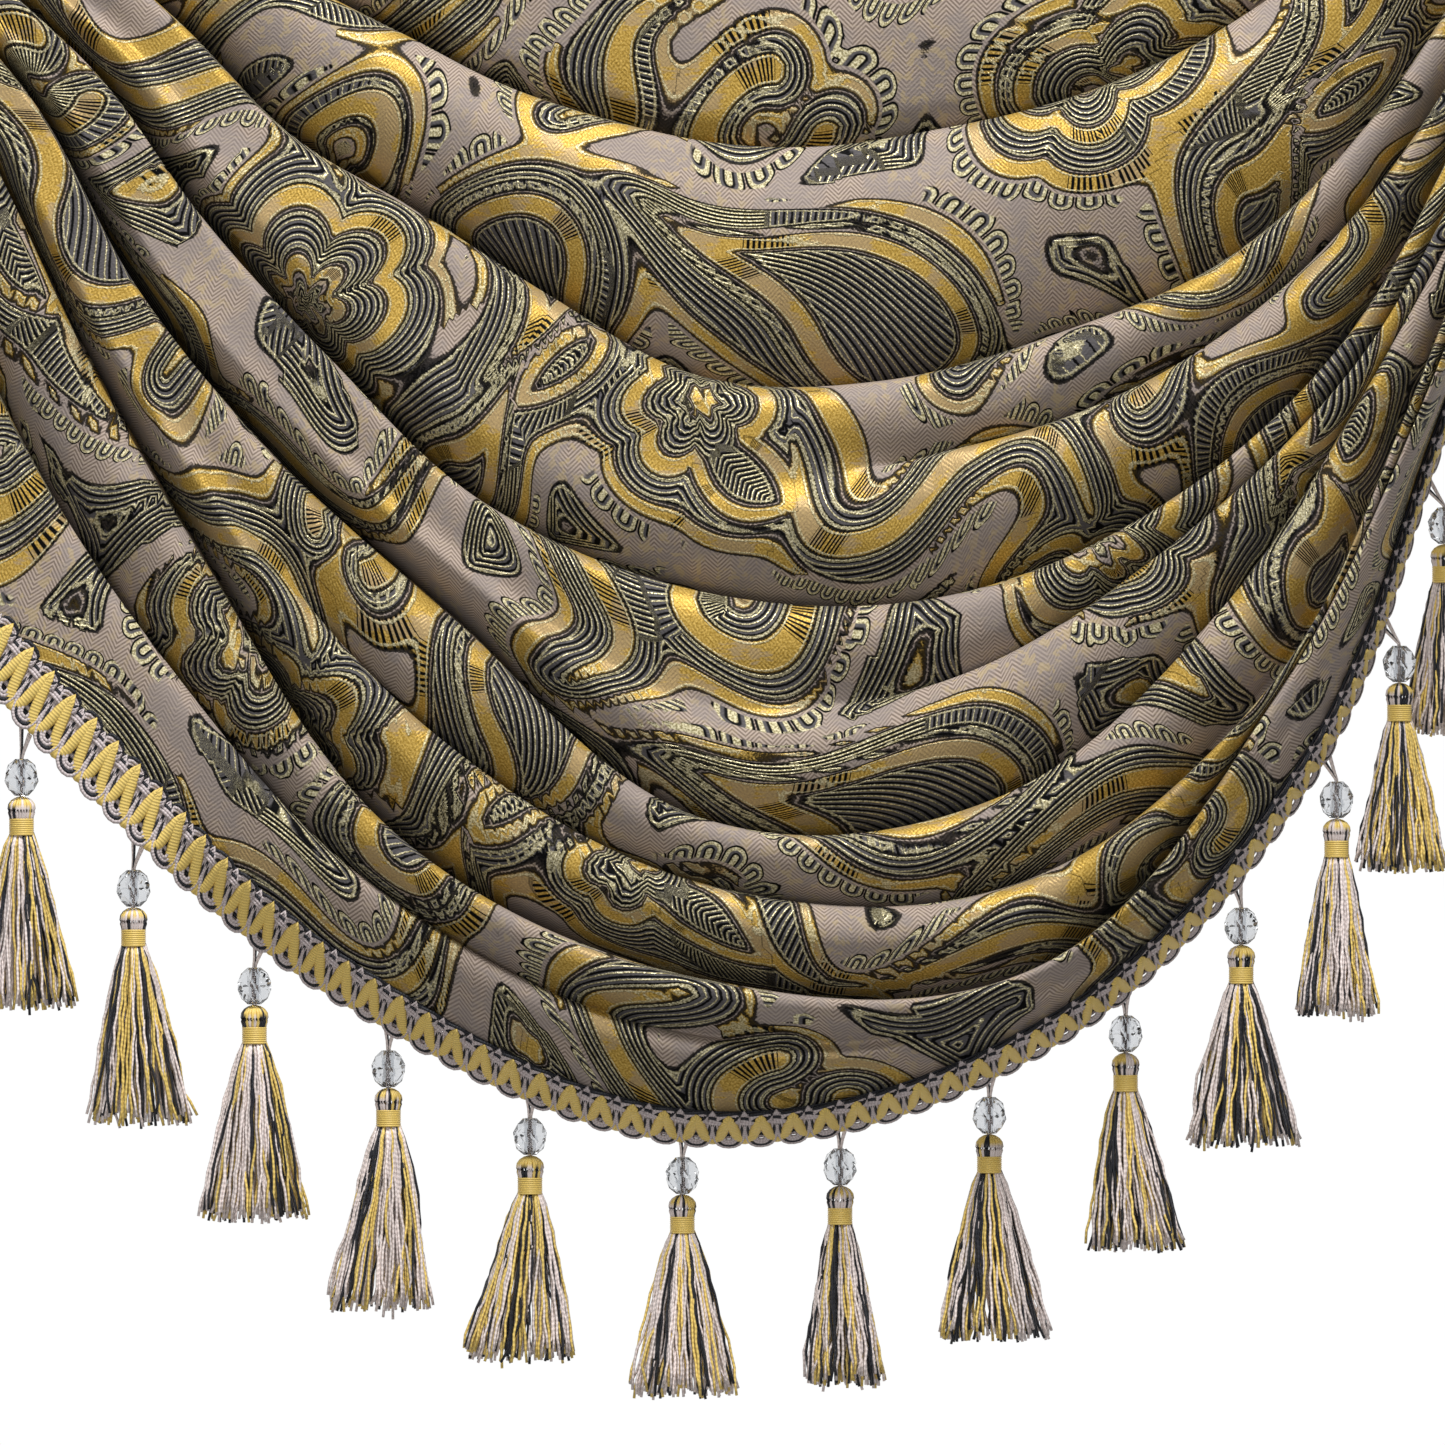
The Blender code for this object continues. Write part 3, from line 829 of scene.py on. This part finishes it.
def cloth_pieces():
    """Front of the cloth with its figures, and its reverse with the turned edges."""
    angles = np.linspace(-90.0, 90.0, RAY_COUNT)
    radii, forwards = cloth_section(angles)
    points = placed(angles, radii, forwards)
    rows = len(points)
    u, v = flat_places(angles, points)
    front = make_piece("drape_cloth_front", points.reshape(-1, 3), grid_faces(rows, RAY_COUNT),
                       jacquard("jacquard"), ["drape_cloth"])
    fields = cloth_fields(u, v)
    beside = cloth_fields(u + SLOPE_STEP, v)
    above = cloth_fields(u, v + SLOPE_STEP)
    fields["slope"] = cord_slope(fields, beside, above)
    for name, values in fields.items():
        add_values(front, name, values)
    flat = np.stack((u, v, np.zeros(u.shape)), axis=-1)
    add_vectors(front, "flat", flat)

    across = np.gradient(points, axis=1)
    down = np.gradient(points, axis=0)
    normal = np.cross(down, across)
    normal = normal / np.maximum(np.linalg.norm(normal, axis=2, keepdims=True), 1e-9)
    behind = points - LINING_BEHIND * normal + np.array((0.0, LINING_BACK, 0.0))
    ring = border_ring(rows, RAY_COUNT)
    count = rows * RAY_COUNT
    faces = [face[::-1] for face in grid_faces(rows, RAY_COUNT)]
    for index, corner in enumerate(ring):
        after = (index + 1) % len(ring)
        faces.append((corner, ring[after], count + after, count + index))
    edge = points.reshape(-1, 3)[ring]
    back = make_piece("drape_cloth_back", np.concatenate((behind.reshape(-1, 3), edge)), faces,
                      cloth_back("jacquard_reverse"), ["drape_cloth"])
    flat = flat.reshape(-1, 3)
    add_vectors(back, "flat", np.concatenate((flat, flat[ring])))
    return front, back, points


def border_ring(rows, columns):
    """Indices round a grid's border, in order."""
    index = np.arange(rows * columns).reshape(rows, columns)
    return np.concatenate((index[:-1, 0], index[-1, :-1], index[:0:-1, -1], index[0, :0:-1]))


def sweep(paths, radii, sides, up):
    """Tubes round many lines of points at once, all with the same count of points.
    up is the direction in which a section of (wide, thick) radii is thick."""
    ahead = np.gradient(paths, axis=1)
    ahead = ahead / np.maximum(np.linalg.norm(ahead, axis=2, keepdims=True), 1e-9)
    side = np.cross(ahead, up)
    side = side / np.maximum(np.linalg.norm(side, axis=2, keepdims=True), 1e-9)
    top = np.cross(side, ahead)
    turn = 2.0 * math.pi * np.arange(sides) / sides
    wide, thick = radii
    points = (paths[:, :, None, :] + side[:, :, None, :] * (wide * np.cos(turn))[:, None]
              + top[:, :, None, :] * (thick * np.sin(turn))[:, None])
    curves, steps = paths.shape[:2]
    index = np.arange(curves * steps * sides).reshape(curves, steps, sides)
    after = np.roll(index, -1, axis=2)
    faces = np.stack((index[:, :-1], after[:, :-1], after[:, 1:], index[:, 1:]), axis=-1).reshape(-1, 4)
    faces = [tuple(face) for face in faces]
    for curve in range(curves):
        faces.append(tuple(index[curve, 0][::-1]))
        faces.append(tuple(index[curve, -1]))
    return points.reshape(-1, 3), faces


class Bundle:
    """Many swept yarns gathered into one mesh, with a colour and a length at every point."""

    def __init__(self):
        self.points = []
        self.faces = []
        self.colours = []
        self.lengths = []
        self.count = 0

    def add(self, paths, radii, sides, up, colours, twist=1.0):
        """twist scales the length that the material's ribs are drawn from; 0 leaves the yarn plain."""
        points, faces = sweep(paths, radii, sides, up)
        self.faces += [tuple(corner + self.count for corner in face) for face in faces]
        self.points.append(points)
        self.count += len(points)
        steps = np.linalg.norm(np.diff(paths, axis=1), axis=2)
        run = np.concatenate((np.zeros((len(paths), 1)), np.cumsum(steps, axis=1)), axis=1)
        run = run + 0.37 * np.arange(len(paths))[:, None]
        self.lengths.append(np.repeat(twist * run.ravel(), sides))
        spread = np.broadcast_to(np.asarray(colours, float), paths.shape[:2] + (3,))
        self.colours.append(np.repeat(spread.reshape(-1, 3), sides, axis=0))

    def make(self, name, material, nodes):
        piece = make_piece(name, np.concatenate(self.points), self.faces, material, nodes)
        add_colours(piece, "tint", np.concatenate(self.colours))
        add_values(piece, "length", np.concatenate(self.lengths))
        return piece


def gimp_piece(points):
    """Braid on the cloth's edge: a gold zigzag over a grey and black one, half a pitch apart."""
    top, hem = points[-HEM_ROWS], points[-1]
    middle = 0.5 * (top + hem)
    run = np.concatenate(([0.0], np.cumsum(np.linalg.norm(np.diff(middle, axis=0), axis=1))))
    lengthwise = np.gradient(middle, axis=0)
    normals = np.cross(hem - top, lengthwise)
    normals = normals / np.linalg.norm(normals, axis=1, keepdims=True)
    repeats = int(run[-1] / ZIGZAG_PITCH) - 1
    start = 0.5 * (run[-1] - repeats * ZIGZAG_PITCH)

    def on_band(place, down, height):
        """Point of the band: how far along it, how far below its top edge, how far off the cloth."""
        spot = [np.stack([np.interp(place, run, line[:, axis]) for axis in range(3)], axis=-1)
                for line in (top, hem, normals)]
        share = (down / GIMP_WIDTH)[..., None]
        return spot[0] + share * (spot[1] - spot[0]) + height[..., None] * spot[2], spot[2]

    def zigzag(shift, top_edge, bottom_edge, bulge, aside):
        """Line that swings between both edges, with pointed turns above and round ones below."""
        steps = np.arange(repeats * ZIGZAG_STEPS + 1) / ZIGZAG_STEPS
        phase = np.mod(steps, 1.0)
        swing = np.abs(2.0 * phase - 1.0)
        down = top_edge + (bottom_edge - top_edge) * np.sin(0.5 * math.pi * (1.0 - swing))
        bow = bulge * np.sin(2.0 * math.pi * phase) * (1.0 - swing) ** 2
        place = start + ZIGZAG_PITCH * (steps + shift) - bow
        slope = np.gradient(down) / np.maximum(np.abs(np.gradient(place)), 1e-6)
        lean = np.sqrt(1.0 + slope ** 2)
        return place + aside * slope / lean, down - aside / lean

    braid = Bundle()
    bed = np.linspace(run[0], run[-1], BED_POINTS)
    for number, down in enumerate(BED_DEPTHS):
        path, normal = on_band(bed, np.full(bed.shape, down), np.full(bed.shape, 0.55))
        braid.add(path[None], (0.85, 0.45), 4, normal[None], GREY_YARN if number % 2 else BLACK_YARN)
    for strand, colour in GREY_STRANDS:
        place, down = zigzag(0.5, GREY_TOP, GREY_BOTTOM, 2.6, strand)
        path, normal = on_band(place, down, 0.9 + 0.09 * down)
        braid.add(path[None], (0.6, 0.6), 5, normal[None], colour)
    steps = np.arange(repeats * SCROLL_STEPS + 1) / SCROLL_STEPS
    for strand, colour in SCROLL_STRANDS:
        place = start + ZIGZAG_PITCH * (steps + 0.5) + 1.9 * np.sin(4.0 * math.pi * steps)
        down = 2.4 + strand + 1.7 * np.cos(2.0 * math.pi * steps) - 0.5 * np.cos(4.0 * math.pi * steps)
        path, normal = on_band(place, down, 2.2 + 0.5 * np.sin(6.0 * math.pi * steps + strand))
        braid.add(path[None], (0.55, 0.55), 4, normal[None], colour)
    place, down = zigzag(0.0, GOLD_TOP, GOLD_BOTTOM, 1.0, 0.0)
    path, normal = on_band(place, down, 2.9 - 0.07 * down)
    braid.add(path[None], (1.7, 0.8), 8, normal[None], GOLD_YARN)
    yarn = yarn_material("gimp_yarn", 0.95, 0.6, 0.5)
    return braid.make("gimp_braid_cords", yarn, ["gimp_braid"])


def hanging_places(points):
    """For every tassel: the hem point that its cord leaves, the axis below it and the hem's direction."""
    hem = points[-1]
    spots = []
    for number in range(1, len(SKIRTS) + 1):
        low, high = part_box(f"bead_{number:02d}")
        axis = (np.array(low) + np.array(high)) / (2.0 * MM)
        axis[2] += BEAD_DROP
        nearest = int(np.argmin(np.hypot(hem[:, 0] - axis[0], hem[:, 2] - axis[2])))
        direction = hem[min(nearest + 1, len(hem) - 1)] - hem[max(nearest - 1, 0)]
        spots.append((hem[nearest], axis, direction / np.linalg.norm(direction)))
    return spots


def hanger(bundle, hem, axis, direction):
    """Two legs of yarn from the hem that meet above the bead and run through it."""
    drops = np.array([-1.5, 1.5, 4.5, 6.6, 9.0, 14.0, BALL_TOP, BALL_TOP + 1.5])
    for leg, colour in ((-2.3, LILAC), (-1.4, BLACK_YARN), (1.5, LILAC), (2.3, LILAC)):
        path = np.tile(axis, (len(drops), 1))
        path[:, 2] -= drops
        open_share = np.clip(1.0 - (drops + 1.5) / 8.3, 0.0, 1.0)
        path += open_share[:, None] * (hem - axis) * np.array([1.0, 1.0, 0.0])
        path += (np.clip(open_share, 0.14, 1.0) * leg)[:, None] * direction * np.array([1.0, 1.0, 0.0])
        path[:, 2] += open_share * leg * direction[2]
        bundle.add(path[None], (0.42, 0.42), 6, np.array([0.0, 1.0, 0.0]), colour)


def ball_and_band(bundle, axis, rng):
    """Round head of threads that run over it, and the wound band below it."""
    count = BALL_THREADS
    turns = 2.0 * math.pi * (np.arange(count) + rng.uniform(-0.2, 0.2, count)) / count
    drops = np.array([BALL_TOP, 18.9, 19.6, 20.6, 21.8, 23.0, 24.1, 25.2])
    reach = np.array([0.6, 1.7, 2.8, 3.55, 3.75, 3.6, 3.25, 3.1])
    paths = np.zeros((count, len(drops), 3))
    paths[..., 0] = axis[0] + np.cos(turns)[:, None] * reach
    paths[..., 1] = axis[1] + np.sin(turns)[:, None] * reach
    paths[..., 2] = axis[2] - drops
    stripes = np.array([LILAC, BLACK_YARN, LILAC, LILAC, BLACK_YARN, GOLD_YARN])
    order = rng.integers(0, len(stripes), count)
    colours = np.repeat(stripes[order][:, None], len(drops), axis=1)
    cap = rng.uniform(0.0, 1.0, count) < 0.7
    colours[cap, :4] = GOLD_YARN
    bundle.add(paths, (0.50, 0.44), 5, np.array([0.0, 0.0, 1.0]) + 1e-3, colours, twist=0.0)
    ring_turn = np.linspace(0.0, 2.0 * math.pi, 25)
    for drop in np.linspace(BAND_TOP, BAND_BOTTOM, BAND_TURNS):
        ring = np.stack((axis[0] + (BAND_RADIUS - 0.35) * np.cos(ring_turn),
                         axis[1] + (BAND_RADIUS - 0.35) * np.sin(ring_turn),
                         np.full(25, axis[2] - drop)), axis=-1)
        bundle.add(ring[None], (0.36, 0.36), 6, np.array([0.0, 0.0, 1.0]), GOLD_YARN, twist=0.0)


def skirt_paths(axis, shape, rng):
    """Directions and lines of loose yarns that fan out below the band and end unevenly."""
    half_width, lean, length = shape
    turns = rng.uniform(0.0, 2.0 * math.pi, SKIRT_YARNS)
    inward = np.sqrt(rng.uniform(0.12, 1.0, SKIRT_YARNS))
    inward[: SKIRT_YARNS // 2] = rng.uniform(0.86, 1.0, SKIRT_YARNS // 2)
    shares = np.linspace(0.0, 1.0, SKIRT_POINTS)
    start = 3.1 * inward
    end = half_width * inward * rng.uniform(0.86, 1.04, SKIRT_YARNS)
    wander = turns + rng.normal(0.0, 0.16, SKIRT_YARNS)
    sway = rng.normal(0.0, 0.9, (SKIRT_YARNS, 2))
    sway_rate = rng.uniform(1.5, 3.5, SKIRT_YARNS)
    wave = np.sin(math.pi * sway_rate[:, None] * shares) * shares
    crinkle_rate = rng.uniform(4.0, 6.0, SKIRT_YARNS)
    crinkle = 0.22 * np.sin(2.0 * math.pi * (crinkle_rate[:, None] * shares + turns[:, None]))
    reach = start[:, None] + (end - start)[:, None] * shares ** 0.8
    heading = turns[:, None] + (wander - turns)[:, None] * shares
    lengths = length * rng.uniform(0.93, 1.02, SKIRT_YARNS) * (1.0 - 0.02 * inward ** 2)
    strays = rng.uniform(0.0, 1.0, SKIRT_YARNS) < 0.05
    lengths = np.where(strays, lengths + rng.uniform(0.5, 2.0, SKIRT_YARNS), lengths)
    paths = np.zeros((SKIRT_YARNS, SKIRT_POINTS, 3))
    paths[..., 0] = axis[0] + np.cos(heading) * reach + sway[:, :1] * wave + crinkle + lean * shares ** 1.3
    paths[..., 1] = axis[1] + 0.82 * np.sin(heading) * reach + sway[:, 1:] * wave
    paths[..., 2] = axis[2] - BAND_BOTTOM + 0.6 - lengths[:, None] * shares
    return turns, paths


def skirt_colours(turns, rng):
    """Mixed yarn colours, partly in clumps of one colour."""
    clumps = rng.choice(3, SKIRT_CLUMPS, p=(0.48, 0.28, 0.24))
    choice = clumps[(turns / (2.0 * math.pi) * SKIRT_CLUMPS).astype(int) % SKIRT_CLUMPS]
    other = rng.choice(3, SKIRT_YARNS, p=(0.46, 0.30, 0.24))
    choice = np.where(rng.uniform(0.0, 1.0, SKIRT_YARNS) < 0.78, other, choice)
    return np.array([LILAC, GOLD_YARN, BLACK_YARN])[choice] * rng.uniform(0.82, 1.15, (SKIRT_YARNS, 1))


def skirt(bundle, axis, shape, rng):
    turns, paths = skirt_paths(axis, shape, rng)
    colours = skirt_colours(turns, rng)
    bundle.add(paths, (YARN_RADIUS, YARN_RADIUS), 4, np.array([0.0, 1.0, 0.05]),
               np.repeat(colours[:, None], SKIRT_POINTS, axis=1))


def tassel_pieces(points):
    yarn = yarn_material("tassel_yarn", 1.5, 0.42, 0.4)
    pieces = []
    for number, (hem, axis, direction) in enumerate(hanging_places(points), start=1):
        rng = np.random.default_rng(100 + number)
        bundle = Bundle()
        hanger(bundle, hem, axis, direction)
        ball_and_band(bundle, axis, rng)
        skirt(bundle, axis, SKIRTS[number - 1], rng)
        pieces.append(bundle.make(f"tassel_yarns_{number:02d}", yarn, [f"tassel_{number:02d}"]))
    return pieces


def bead_pieces(points):
    """Faceted glass beads, each with a hole for the cord."""
    glass = glass_material("clear_glass")
    pieces = []
    levels = ((0.5, 0.40), (0.34, 0.80), (0.11, 1.0), (-0.11, 1.0), (-0.34, 0.80), (-0.5, 0.40))
    for number, (_, axis, _) in enumerate(hanging_places(points), start=1):
        rings = []
        for level, (height, radius) in enumerate(levels):
            turn = 2.0 * math.pi * (np.arange(BEAD_SIDES) + 0.5 * (level % 2) + 0.13 * number) / BEAD_SIDES
            rings.append(bead_ring(axis, turn, height, radius * BEAD_RADIUS))
        # The hole's rings keep the last level's turn, so that the faces join without a twist
        for height in (-0.47, 0.47):
            rings.append(bead_ring(axis, turn, height, BEAD_HOLE))
        faces = []
        for level in range(len(rings)):
            upper = level * BEAD_SIDES
            lower = (level + 1) % len(rings) * BEAD_SIDES
            for side in range(BEAD_SIDES):
                after = (side + 1) % BEAD_SIDES
                faces.append((upper + side, lower + side, lower + after))
                faces.append((upper + side, lower + after, upper + after))
        pieces.append(make_piece(f"glass_bead_{number:02d}", np.concatenate(rings), faces, glass,
                                 [f"bead_{number:02d}"], smooth=False))
    return pieces


def bead_ring(axis, turn, height, radius):
    return np.stack((axis[0] + radius * np.cos(turn), axis[1] + radius * np.sin(turn),
                     np.full(len(turn), axis[2] - BEAD_DROP + height * BEAD_HEIGHT)), axis=-1)


# Studio

def plain_plane(name, corners, material):
    mesh = bpy.data.meshes.new(name)
    mesh.from_pydata(corners, [], [(0, 1, 2, 3)])
    mesh.materials.append(material)
    item = bpy.data.objects.new(name, mesh)
    bpy.context.scene.collection.objects.link(item)
    return item


def glowing_paper(name):
    """Pale paper that glows by its own emission, painted light that also lights the drape: white beyond
    the drape and light grey in front of it.
    """
    shader = Shader(name)
    place = shader.tree.nodes.new("ShaderNodeTexCoord").outputs["Object"]
    away = shader.axes(place)[1]
    glow = shader.mix(shader.step(away, *GLOW_RANGE), GLOW_FRONT, GLOW_BACK)
    shader.material.cycles.emission_sampling = "NONE"
    return shader.set(base_color=(0.0, 0.0, 0.0, 1.0), specular_ior_level=0.0, emission_color=glow,
                      emission_strength=1.0)


def soft_light(name, place, target, size, power):
    data = bpy.data.lights.new(name, "AREA")
    data.shape = "RECTANGLE"
    data.size, data.size_y = size
    data.energy = power
    lamp = bpy.data.objects.new(name, data)
    lamp.location = place
    direction = np.array(target) - np.array(place)
    lamp.rotation_mode = "QUATERNION"
    lamp.rotation_quaternion = Vector(direction).to_track_quat("-Z", "Y")
    bpy.context.scene.collection.objects.link(lamp)


def studio():
    paper = glowing_paper("studio_paper")
    low = [(-ROOM, -ROOM, FLOOR), (ROOM, -ROOM, FLOOR), (ROOM, ROOM, FLOOR), (-ROOM, ROOM, FLOOR)]
    high = [(x, y, ROOM) for x, y, _ in low]
    plain_plane("floor", low, paper)
    for side in range(4):
        after = (side + 1) % 4
        plain_plane(f"wall_{side}", [low[side], low[after], high[after], high[side]], paper)
    for name, settings in LAMPS.items():
        soft_light(name, *settings)
    world = bpy.data.worlds.new("studio")
    world.use_nodes = True
    background = world.node_tree.nodes["Background"]
    background.inputs["Color"].default_value = (1.0, 1.0, 1.0, 1.0)
    background.inputs["Strength"].default_value = WORLD_STRENGTH
    bpy.context.scene.world = world
    bpy.context.scene.view_settings.view_transform = "Standard"


def camera():
    data = bpy.data.cameras.new("camera")
    data.sensor_width = SENSOR
    data.lens = SENSOR * VIEW_DISTANCE / VIEW_WIDTH
    data.clip_start = 0.1
    data.clip_end = 50.0
    item = bpy.data.objects.new("camera", data)
    item.location = (VIEW_CENTRE[0], VIEW_CENTRE[1] - VIEW_DISTANCE, VIEW_CENTRE[2])
    item.rotation_euler = (math.pi / 2, 0.0, 0.0)
    bpy.context.scene.collection.objects.link(item)
    bpy.context.scene.camera = item


cloth_front, cloth_reverse, cloth_points = cloth_pieces()
gimp = gimp_piece(cloth_points)
tassels = tassel_pieces(cloth_points)
beads = bead_pieces(cloth_points)
studio()
camera()
